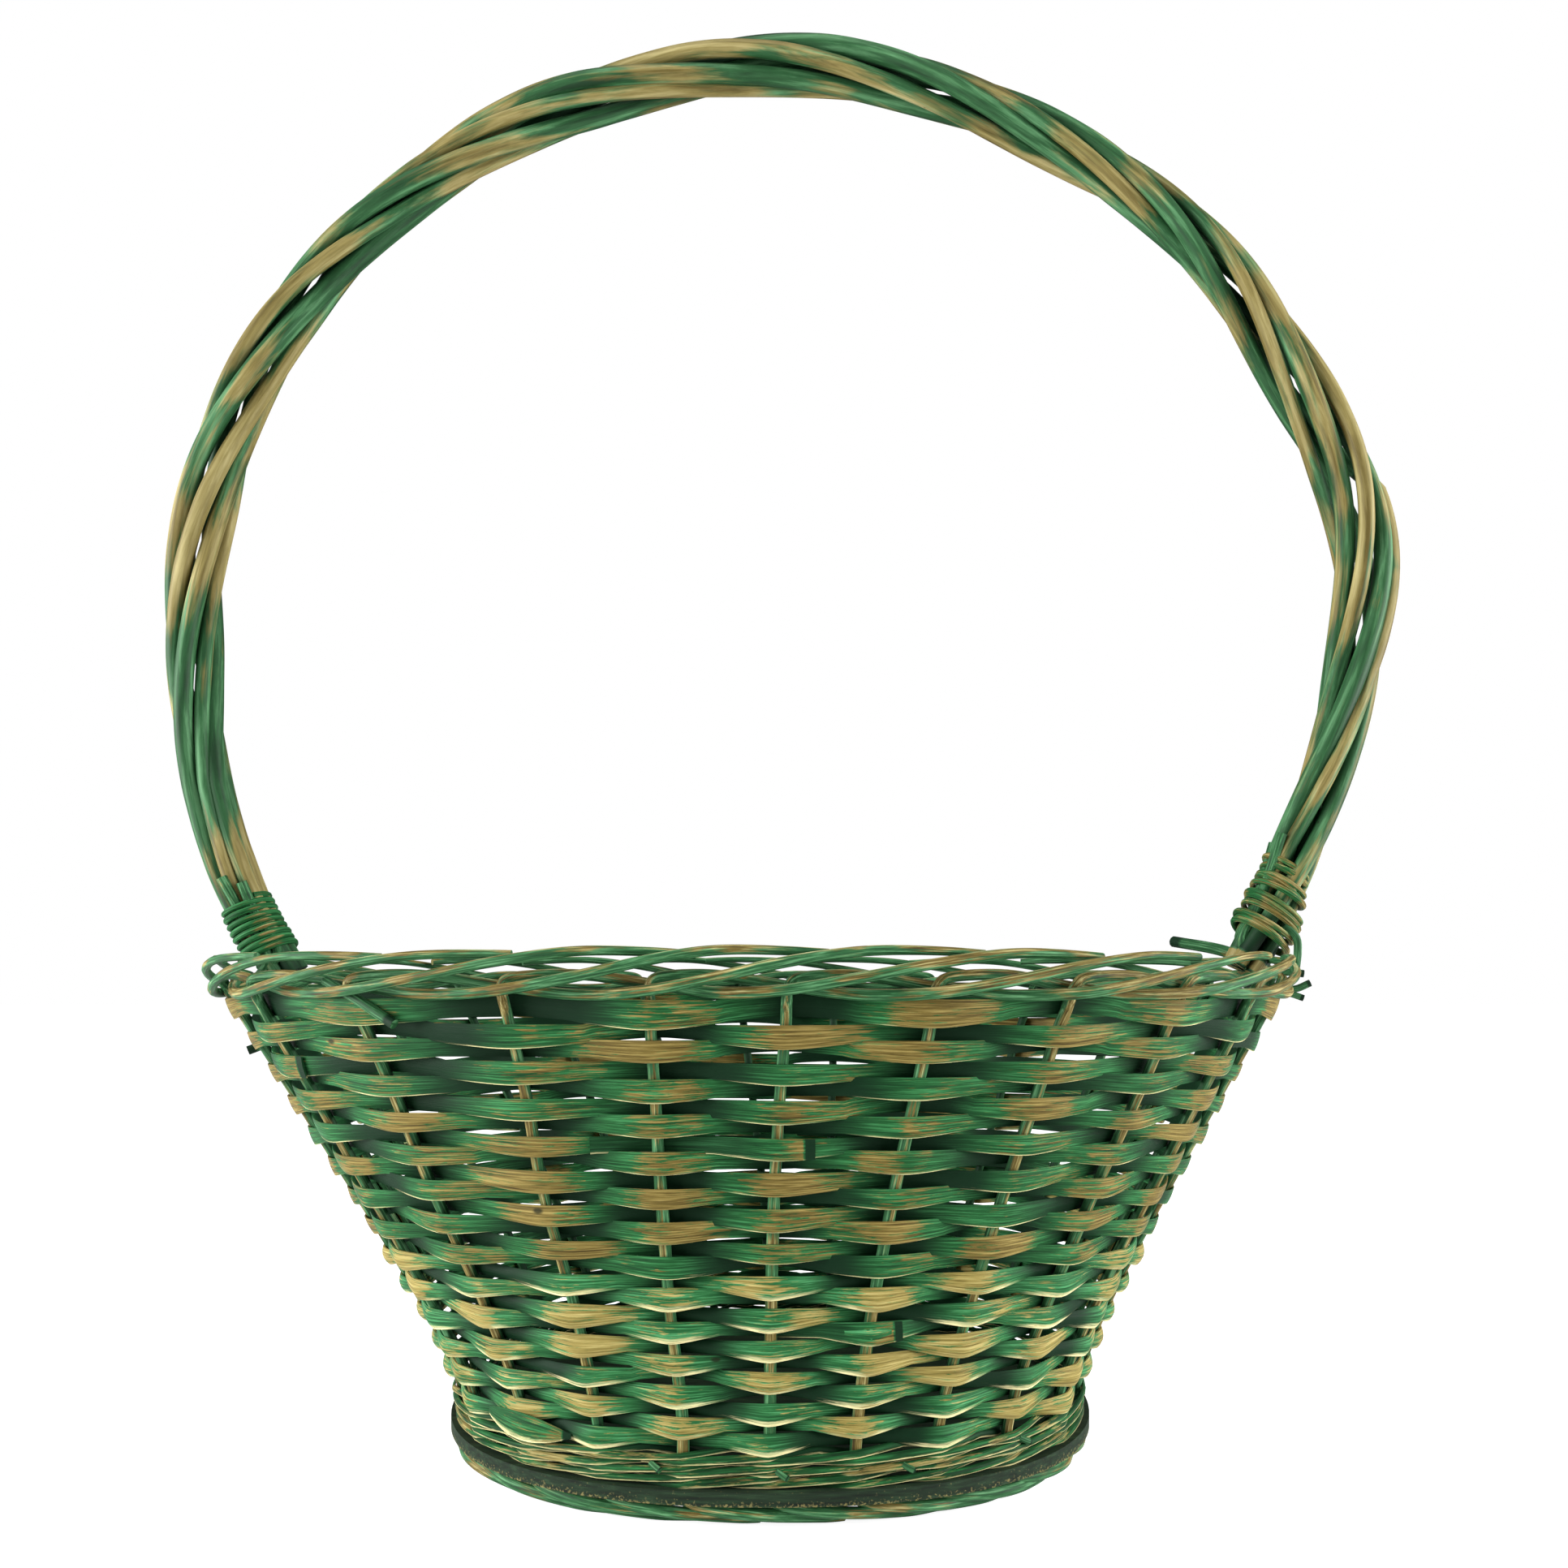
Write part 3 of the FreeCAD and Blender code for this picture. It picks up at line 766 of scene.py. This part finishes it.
def makeStake(stake):
    seed = 500 + stake
    random = np.random.default_rng(seed)
    paths = [tailPath(stake, random)[:-1], uprightPath(stake, seed), topPath(stake, seed, random)]
    points = smoothPath(np.concatenate(paths), 2)
    runs = np.concatenate([[0], np.cumsum(np.linalg.norm(np.diff(points, axis=0), axis=1))])
    part = runs / runs[-1]
    laid = np.clip((points[:, 2] - weaveTop) / (3 * mm), 0, 1)
    tip = np.clip((part - stakes["taperFrom"]) / (1 - stakes["taperFrom"]), 0, 1)
    radius = stakes["radius"] + (stakes["rimRadius"] - stakes["radius"]) * laid
    radius = radius * (1 - (1 - stakes["tipTaper"]) * tip)
    radius = radius + stakes["footSwell"] * (points[:, 2] < boardLow.z)
    radius *= 1 + wander(600 + stake, runs, *stakes["unevenRadius"])
    return layStrand("stakeRod%02d" % stake, points, radius, rodRound, upright=False)


# gold on the brushed side, painted shade on the side turned away
def goldAndShadeByFacing(piece, where):
    least, more, fromAbove = stakes["gold"][where]
    return least + more * facing(piece, fromAbove)


for pair in range(stakeCount // 2):
    piece = joinStrands("stakes%02d" % (pair + 1), [makeStake(2 * pair), makeStake(2 * pair + 1)])
    level = vertexPlaces(piece)[:, 2]
    inRim = level > weaveTop + mm
    below = np.where(level < boardLow.z, goldAndShadeByFacing(piece, "foot"), goldAndShadeByFacing(piece, "weave"))
    setValues(piece, "proud", np.where(inRim, goldAndShadeByFacing(piece, "rim"), below))
    # painted highlight: laid-down tops are painted pale along their upper side, where light from above
    # falls
    setValues(piece, "edge", 0.85 * np.clip(facing(piece, 1.0) * 2.5 - 1.5, 0, 1) * inRim)
    dress(piece, rodPaint, "rods", "stakes_%02d" % (pair + 1))
print("stakes planted")

# handle: six rods twisted like a rope along a hoop
handle = {
    "rodRadius": 2.8 * mm,
    "ringRadius": 5.9 * mm,
    "bundle": 8.7 * mm,  # from the twist's middle to its outside
    "squeeze": 0.26, "squeezeLength": 42 * mm,  # how much the bindings draw the rods together
    "tail": 8 * mm,  # rods run on below the winding
    "straightFoot": (70 * mm, 0.8),  # over the left foot they hardly turn
    # the twist opens at these places: share of the length, millimetres it spreads over, and by how much
    "opened": [(0.21, 45, 0.18), (0.795, 55, 0.26)],
    "twistLength": 265 * mm,
    "samples": 300,
    # where the hoop leaves a true circle: degrees from its top, how widely, and millimetres out
    "bends": [(-121, 14, 1.5), (-58, 20, 2.2), (5, 16, 1.8), (48, 18, 2.6), (77, 13, 7.6), (112, 14, -4.2)],
    "phases": [-30, 24, 92, 152, 208, 272],
    "thickness": [0.92, 1.08, 0.98, 1.1, 0.84, 1.02],
    "gilding": [0.12, -0.2, 0.18, -0.1, 0.1, -0.14],
    "goldFrom": 3.5 * mm, "goldOver": 5.5 * mm, "goldMost": 0.62,  # outwards from the twist's middle
    "underWindings": 22 * mm,  # of each foot, inside the windings
    "unevenAngle": (0.26, 80 * mm),
    "unevenRing": (0.16, 60 * mm),
    "unevenRadius": (0.10, 110 * mm),
    "knots": (0.03, 12 * mm),  # small swellings
    # one rod is cracked: it leaves the bundle suddenly and comes back slowly
    "crackedRod": 0, "crackPlace": 0.818, "crackOut": 5.6 * mm,
    "crackBefore": 15 * mm, "crackAfter": 60 * mm,
    "crackDark": ((1.6 * mm, 1.5), (32 * mm, 0.3)),  # darkened towards the deep shade green: at the break, and less on the rod on both sides of it
}

rodBoxes = [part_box("handle_rods_%d" % (pair + 1)) for pair in range(3)]
hoopTop = rodBoxes[0][1].z - handle["bundle"]
hoopRadius = max(high.x for low, high in rodBoxes) - handle["bundle"]
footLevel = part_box("binding_left")[0].z + 4 * mm
hoopCentre = hoopTop - hoopRadius
hoopHalfTurn = math.acos((footLevel - hoopCentre) / hoopRadius)
hoopHalfLength = hoopRadius * hoopHalfTurn


# centre line of the hoop, a little lopsided like the bent rods it is
def hoopFrame(distance):
    angle = distance / hoopRadius
    degrees = np.degrees(angle)
    bend = sum(
        out * mm * np.exp(-((degrees - place) / width) ** 2) for place, width, out in handle["bends"])
    outward = np.stack([np.sin(angle), np.zeros_like(angle), np.cos(angle)], 1)
    along = np.stack([np.cos(angle), np.zeros_like(angle), -np.sin(angle)], 1)
    centre = outward * np.reshape(hoopRadius + bend, (-1, 1))
    centre[:, 2] += hoopCentre
    return centre, along, outward


def makeHandleRod(index):
    cracked = index == handle["crackedRod"]
    part = np.linspace(0, 1, handle["samples"])
    distance = (2 * part - 1) * (hoopHalfLength + handle["tail"])
    centre, along, outward = hoopFrame(distance)
    places = distance + hoopHalfLength + handle["tail"]
    straight, held = handle["straightFoot"]
    turn = distance + np.maximum(straight - places, 0) * held
    angle = math.radians(handle["phases"][index]) + fullTurn * turn / handle["twistLength"]
    angle = angle + wander(700 + index, places, *handle["unevenAngle"])
    ring = handle["ringRadius"] * (1 + wander(710 + index, places, *handle["unevenRing"]))
    for share, spread, much in handle["opened"]:
        ring *= 1 + much * np.exp(-((part - share) * 2 * hoopHalfLength / (spread * mm)) ** 2)
    toFoot = np.minimum(places, places[-1] - places)
    ring *= 1 - handle["squeeze"] * np.clip(1 - toFoot / handle["squeezeLength"], 0, 1)
    side = np.array([0.0, 1.0, 0.0])
    points = centre + (outward * np.cos(angle)[:, None] - side * np.sin(angle)[:, None]) * ring[:, None]
    past = places - handle["crackPlace"] * 2 * hoopHalfLength
    if cracked:
        reach = np.where(past < 0, handle["crackBefore"], handle["crackAfter"])
        points += outward * (handle["crackOut"] * np.clip(1 - np.abs(past) / reach, 0, 1))[:, None]
    thick = 1 + wander(720 + index, places, *handle["unevenRadius"])
    thick = thick + wander(730 + index, places, *handle["knots"])
    radius = handle["rodRadius"] * thick * handle["thickness"][index]
    rod = layStrand("handleRod%d" % index, points, radius, stoutRound, upright=False)

    # gold lies on the outside of the twist and painted shade on its inside, between the rods; the two
    # capped ends hold a ring of points more each
    sides = len(outlineOf(stoutRound))
    middles = np.vstack([np.repeat(centre, sides, axis=0), np.repeat(centre[[0, -1]], sides, axis=0)])
    across = np.linalg.norm(vertexPlaces(rod) - middles, axis=1)
    proud = (across - handle["goldFrom"]) / handle["goldOver"] * handle["goldMost"]
    proud = proud + handle["gilding"][index]
    # inside the windings the feet get no gold and are darkened towards the deep shade green
    bound = np.clip(1 - toFoot / handle["underWindings"], 0, 1)
    proud -= 0.5 * np.append(np.repeat(bound, sides), np.ones(2 * sides))
    if cracked:
        dark = sum(much * (np.abs(past) < near) for near, much in handle["crackDark"])
        proud[:-2 * sides] -= np.repeat(dark, sides)
    setValues(rod, "proud", proud)
    return rod


for pair in range(3):
    piece = joinStrands("handleRods%d" % (pair + 1), [makeHandleRod(2 * pair), makeHandleRod(2 * pair + 1)])
    dress(piece, handlePaint, "handle", "handle_rods_%d" % (pair + 1))
print("handle twisted")

# liners and bindings at the handle's feet
binding = {
    # turns, millimetres from turn to turn, looseness, and how far up the foot the winding starts
    "left": (8.6, 2.35, 0.12, 0.0),
    "right": (11.2, 2.6, 1.0, 1.0),
    "radius": 1.05 * mm,
    # half the winding's depth and width in millimetres, and how much more where it is loose
    "halfDepth": (7.8, 2.4), "halfWidth": (9.0, 0.8),
    "inwards": (1.4, 3.0),  # its middle from the hoop's, tight and loose
    "bunch": (1.1, 3.1),  # the loose turns bunch by this many millimetres, over so many turns
    "slant": 1.6,
    "unevenRadius": (0.14, 1.0),  # the second value of these is in turns
    "unevenDepth": (0.9, 0.6),
    "unevenWidth": (0.6, 0.7),
    "unevenSlant": (0.8 * mm, 0.5),
    "samples": 32,  # per turn
    "linerRadius": 1.75 * mm,
    # each liner's top: millimetres out of the hoop's middle and to the back, and height over the winding
    "stubs": {"left": ((2.2, -8.3, 10.0), (-3.2, -8.1, 6.0)),
              "right": ((-8.6, -4.6, 11.0), (-8.2, 1.0, 8.0))},
    "held": (0.66, 0.70, 1.0),  # a liner is drawn in under the winding, then stands free
    "brushTowards": (0.62, -0.78, 0.1),
}


def makeLiners(side):
    turns, pitch, _, _ = binding[side]
    sign = 1 if side == "right" else -1
    station = endStations[0] if side == "right" else endStations[1]
    low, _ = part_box("handle_liners_" + side)
    held = np.array(binding["held"])
    strands = []
    for index, (outer, back, over) in enumerate(binding["stubs"][side]):
        levels = np.linspace(low.z + 1 * mm, weaveTop, 12)
        beside = (-0.045 if index else 0.045) * sign
        inWall, _ = wallPoints(np.full(12, station + beside), levels, np.full(12, stakes["lanes"]))
        distance = sign * (hoopHalfLength - np.array([0.0, 14 * mm, turns * pitch * mm + over * mm]))
        centre, _, outward = hoopFrame(distance)
        upper = centre + outward * (outer * mm * held)[:, None]
        upper[:, 1] += back * mm * held
        points = smoothThrough(np.vstack([inWall[::4], inWall[-1:], upper]), 8)
        name = "linerStick%s%d" % (side, index)
        strands.append(layStrand(name, points, binding["linerRadius"], rodRound, upright=False))
    piece = joinStrands("handleLiners" + side.title(), strands)
    setValues(piece, "proud", np.full(len(piece.data.vertices), 0.45))
    dress(piece, rodPaint, "rods", "handle_liners_" + side)


def makeBinding(side):
    turns, pitch, loose, lift = binding[side]
    sign = 1 if side == "right" else -1
    turn = np.arange(int(turns * binding["samples"])) / binding["samples"]
    bunched, group = binding["bunch"]
    wound = (turn + 0.5) * pitch * mm + loose * bunched * mm * np.sin(turn * fullTurn / group)
    distance = sign * (hoopHalfLength - wound - lift * mm)
    centre, along, outward = hoopFrame(distance)
    angle = fullTurn * turn + 0.4
    # it narrows towards its top, where it slips inwards
    upper = np.clip(turn / turns - 0.45, 0, 1)
    narrow = 1 - 0.30 * loose * upper / 0.55
    depth, looser = binding["halfDepth"]
    deep = (depth * mm + loose * (looser + wander(802, turn, *binding["unevenDepth"])) * mm) * narrow
    width, looser = binding["halfWidth"]
    wide = (width * mm + loose * (looser + wander(803, turn, *binding["unevenWidth"])) * mm) * narrow
    tight, slipped = binding["inwards"]
    middle = tight * mm * (1 - loose) - loose * slipped * mm * upper
    points = centre + outward * (middle + deep * np.cos(angle))[:, None]
    points[:, 1] += wide * np.sin(angle)
    slant = loose * (binding["slant"] * mm * np.cos(angle) + wander(801, turn, *binding["unevenSlant"]))
    points += along * slant[:, None]
    radius = binding["radius"] * (1 + wander(804, turn, *binding["unevenRadius"]))
    piece = layStrand("bindingSplit" + side.title(), points, radius, rodRound, upright=False)
    # the left one was brushed only once down its front, the right one all over
    towards = np.clip(vertexNormals(piece) @ binding["brushTowards"], 0, 1)
    stroke = 0.40 if loose > 0.5 else 0.62 * towards ** 6
    setValues(piece, "proud", 0.38 + stroke + 0.12 * loose * towards)
    dress(piece, bindingPaint, "binding", "binding_" + side)


for side in ("left", "right"):
    makeLiners(side)
    makeBinding(side)
print("bindings wound")

# loose ends: where strips were spliced and rods cut off
looseEnds = {
    # a spliced strip lies over its row's pass: row, stations it runs over
    "splices": [(18, -1.55, 0.30), (7, 0.05, 1.32), (22, -4.4, -3.75)],
    "spliceOver": 0.65 * mm,
    "spliceCurl": 0.45 * mm,
    # broad starting end of a lowest strip: row, stations, half its width
    "starts": [(0, -3.5, -2.3, 3.9 * mm)],
    # cut rods: each one's radius and a few places along it, all in millimetres
    "rods": [
        (1.5, [(-150, -10, 134), (-159, -14, 130.5), (-170, -18, 126)]),
        (1.45, [(-122, -84, 149), (-111, -91, 144), (-99.5, -96, 137.5)]),
        (2.1, [(168, 14, 155), (160, 24, 159.5), (150, 46, 163)]),
        (1.3, [(166, -6, 150), (172, -8, 151.5), (177, -9, 151)]),
        (1.1, [(164, -12, 143.5), (170, -13, 144.5), (175, -14, 143)]),
        (1.2, [(-170, -8, 149), (-176, -10, 147), (-179, -12, 142)]),
        (1.3, [(171, -8, 167), (174.5, -9, 163), (175, -9, 158), (174.4, -9, 152.5)]),
        (1.2, [(165, -14, 147), (171, -16, 146), (176, -17, 148)]),
    ],
    # wale ends: stations along the front, and level over the board
    "waleEnds": [(-1.35, 6.5), (0.1, 5.0), (1.55, 5.5), (3.1, 7.5)],
    "waleRadius": 0.9,
}


def makeSplice(index, row, start, end):
    station = np.linspace(start, end, int((end - start) * 18) + 4)
    out, level, width, turn = stripRun(row, station)
    tip = np.clip(1 - (end - station) / 0.16, 0, 1)
    over = out + looseEnds["spliceOver"] + looseEnds["spliceCurl"] * tip ** 2
    points, _ = wallPoints(station, level, over)
    width = width * (1.02 + 0.06 * tip)
    strip = layStrand("spliceEnd%d" % index, points, width / 2, flatSplit, turn)
    proud = 0.30 + 0.75 * np.clip(1 - (end - station) / 0.5, 0, 1)
    markRings(strip, flatSplit, proud, 0.9, 0.2)
    return strip


def makeStart(index, row, start, end, half):
    part = np.linspace(0, 1, 22)
    station = start + (end - start) * part
    level = rowLevels[row] + (1.0 - 2.2 * part) * mm
    points, _ = wallPoints(station, level, (2.6 + 1.6 * np.sin(math.pi * part)) * mm)
    width = half * np.maximum(np.sin(math.pi * np.clip(part * 0.9 + 0.08, 0, 1)) ** 0.8, 0.2)
    passLevel = stripRun(row, station)[1]
    turn = wallLean(station, passLevel) - 0.2
    strip = layStrand("startingSplit%d" % index, points, width, flatSplit, turn)
    markRings(strip, flatSplit, 0.35 + 0.45 * part, 1.0, 0.8)
    return strip


def makeCutRod(index, radius, places):
    points = smoothThrough(np.array(places) * mm, 8)
    rod = layStrand("cutRod%d" % index, points, radius * mm, rodRound, upright=False)
    markRings(rod, rodRound, np.full(len(points), 0.30))
    return rod


def makeWaleEnd(index, station, over):
    stations = station + np.array([0.0, 0.06, 0.13])
    levels = boardTop + np.array([over, over - 0.7, over - 1.5]) * mm
    points, _ = wallPoints(stations, levels, np.array([2.6, 3.4, 4.2]) * mm)
    return makeCutRod(20 + index, looseEnds["waleRadius"], points / mm)


splices = [makeSplice(index, *values) for index, values in enumerate(looseEnds["splices"])]
starts = [makeStart(index, *values) for index, values in enumerate(looseEnds["starts"])]
spliced = joinStrands("splicedEnds", splices + starts)
dress(spliced, splitPaint, "strips")
cuts = [makeCutRod(index, *values) for index, values in enumerate(looseEnds["rods"])]
cuts += [makeWaleEnd(index, *values) for index, values in enumerate(looseEnds["waleEnds"])]
cutEnds = joinStrands("cutRodEnds", cuts)
dress(cutEnds, rodPaint, "rods")
print("loose ends left")

for section in sections:
    bpy.data.objects.remove(section)

# floor, light and camera
studio = {
    "lens": 30.48447,  # millimetres, on a sensor 36 mm wide
    "eye": (4.4 * mm, -450 * mm, 151 * mm),
    "horizonShift": 0.121,
    "paperGlow": 0.89,
    "skyLight": 0.32,
    # each lamp's place and width in metres, and its watts
    "lamps": {
        "keySoftbox": ((-1.25, -0.4, 0.45), 0.8, 39),
        "fillSoftbox": ((1.3, -0.35, 0.45), 0.8, 35),
        "topSoftbox": ((-0.15, -0.55, 1.5), 0.7, 10),
    },
    "aim": (0, 0, 0.2),
}


def greyOf(share):
    return (share, share, share, 1)


bpy.ops.mesh.primitive_plane_add(size=12)
floor = bpy.context.object
floor.name = "studioFloor"
# matt white paper: keeps the soft shadow under the basket and fades into the white backdrop
paper = newMaterial("seamlessPaper")
rays = addNode(paper, "LightPath")
plain = addNode(paper, "BsdfDiffuse", None, {"Color": greyOf(0.9)})
shaded = addNode(paper, "BsdfDiffuse", None, {"Color": greyOf(0.4)})
glow = addNode(paper, "Emission", None, {"Color": greyOf(1), "Strength": studio["paperGlow"]})
lifted = addNode(paper, "AddShader", None, None, {0: shaded, 1: glow})
paperMix = addNode(paper, "MixShader", None, None,
    {"Fac": rays.outputs["Is Camera Ray"], 1: plain, 2: lifted})
addNode(paper, "OutputMaterial", None, None, {"Surface": paperMix})
floor.data.materials.append(paper)

# the world lights the basket softly and is plain white where it is seen itself
world = bpy.data.worlds.new("softStudio")
bpy.context.scene.world = world
world.use_nodes = True
world.node_tree.nodes.clear()
sky = addNode(world, "Background", None, {"Color": greyOf(1), "Strength": studio["skyLight"]})
seen = addNode(world, "Background", None, {"Color": greyOf(1), "Strength": 1.0})
rays = addNode(world, "LightPath")
worldMix = addNode(world, "MixShader", None, None,
    {"Fac": rays.outputs["Is Camera Ray"], 1: sky, 2: seen})
addNode(world, "OutputWorld", None, None, {"Surface": worldMix})

for name, (place, size, power) in studio["lamps"].items():
    bpy.ops.object.light_add(type="AREA", location=place)
    lamp = bpy.context.object
    lamp.name = name
    lamp.data.size = size
    lamp.data.energy = power
    lamp.rotation_euler = (Vector(studio["aim"]) - Vector(place)).to_track_quat("-Z", "Y").to_euler()

cameraData = bpy.data.cameras.new("frontCamera")
cameraData.lens = studio["lens"]
cameraData.shift_y = studio["horizonShift"]
cameraData.clip_start = 0.02
camera = bpy.data.objects.new("frontCamera", cameraData)
bpy.context.collection.objects.link(camera)
camera.location = studio["eye"]
camera.rotation_euler = (math.radians(90), 0, 0)
bpy.context.scene.camera = camera
bpy.context.scene.view_settings.view_transform = "Standard"
print("studio lit")
